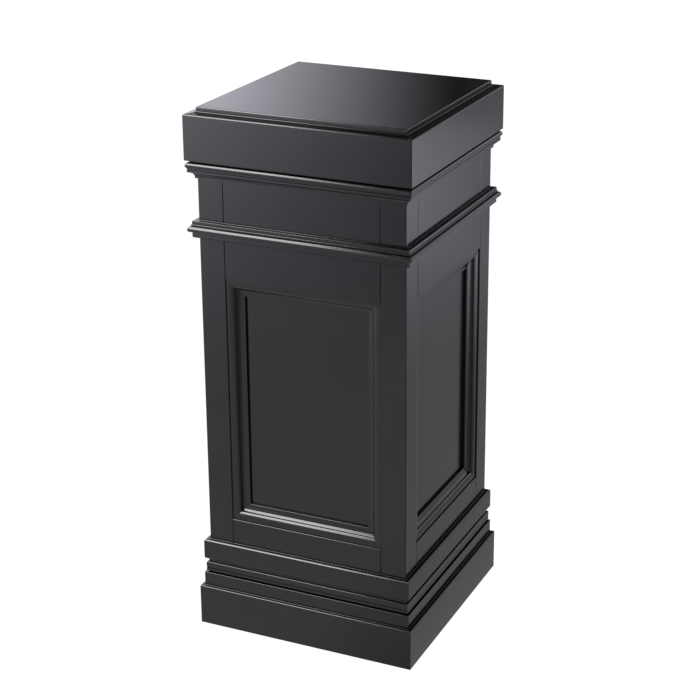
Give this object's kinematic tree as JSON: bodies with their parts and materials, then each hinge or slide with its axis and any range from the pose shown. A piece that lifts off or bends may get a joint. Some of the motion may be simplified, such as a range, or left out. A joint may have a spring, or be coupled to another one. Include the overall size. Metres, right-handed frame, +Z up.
{
  "type": "display plinth",
  "caption": "Square display plinth: black satin frame-and-panel column with stacked base, belt moulding, frieze, cornice, deep cap and raised top.",
  "frame": {"origin": "middle of the floor area under the plinth, at the underside of the foot pads", "axes": "+Z up to the display surface, +X out of the right side, -Y out of the front"},
  "size_m": [0.4306, 0.4306, 1],
  "materials": {
    "black_lacquer": "satin black lacquer over primed board, near-black with a faint violet-grey cast",
    "bare_board": "bare plywood",
    "zinc_screw": "zinc plated",
    "pad_felt": "pressed dark felt"
  },
  "bodies": {
    "root": {"base_moulding_back": "black_lacquer", "base_moulding_front": "black_lacquer", "base_moulding_left": "black_lacquer", "base_moulding_right": "black_lacquer", "belt_moulding_back": "black_lacquer", "belt_moulding_front": "black_lacquer", "belt_moulding_left": "black_lacquer", "belt_moulding_right": "black_lacquer", "bottom_rail_back": "black_lacquer", "bottom_rail_front": "black_lacquer", "bottom_rail_left": "black_lacquer", "bottom_rail_right": "black_lacquer", "cap_board_back": "black_lacquer", "cap_board_front": "black_lacquer", "cap_board_left": "black_lacquer", "cap_board_right": "black_lacquer", "corner_post_back_left": "black_lacquer", "corner_post_back_right": "black_lacquer", "corner_post_front_left": "black_lacquer", "corner_post_front_right": "black_lacquer", "cornice_moulding_back": "black_lacquer", "cornice_moulding_front": "black_lacquer", "cornice_moulding_left": "black_lacquer", "cornice_moulding_right": "black_lacquer", "fixing_screws": "zinc_screw", "foot_pads": "pad_felt", "inner_floor": "bare_board", "panel_back": "black_lacquer", "panel_front": "black_lacquer", "panel_left": "black_lacquer", "panel_moulding_back_bottom": "black_lacquer", "panel_moulding_back_left": "black_lacquer", "panel_moulding_back_right": "black_lacquer", "panel_moulding_back_top": "black_lacquer", "panel_moulding_front_bottom": "black_lacquer", "panel_moulding_front_left": "black_lacquer", "panel_moulding_front_right": "black_lacquer", "panel_moulding_front_top": "black_lacquer", "panel_moulding_left_bottom": "black_lacquer", "panel_moulding_left_left": "black_lacquer", "panel_moulding_left_right": "black_lacquer", "panel_moulding_left_top": "black_lacquer", "panel_moulding_right_bottom": "black_lacquer", "panel_moulding_right_left": "black_lacquer", "panel_moulding_right_right": "black_lacquer", "panel_moulding_right_top": "black_lacquer", "panel_right": "black_lacquer", "plinth_board_back": "black_lacquer", "plinth_board_front": "black_lacquer", "plinth_board_left": "black_lacquer", "plinth_board_right": "black_lacquer", "surbase_band_back": "black_lacquer", "surbase_band_front": "black_lacquer", "surbase_band_left": "black_lacquer", "surbase_band_right": "black_lacquer", "top_board": "black_lacquer", "top_rail_back": "black_lacquer", "top_rail_front": "black_lacquer", "top_rail_left": "black_lacquer", "top_rail_right": "black_lacquer"}
  },
  "joints": []
}
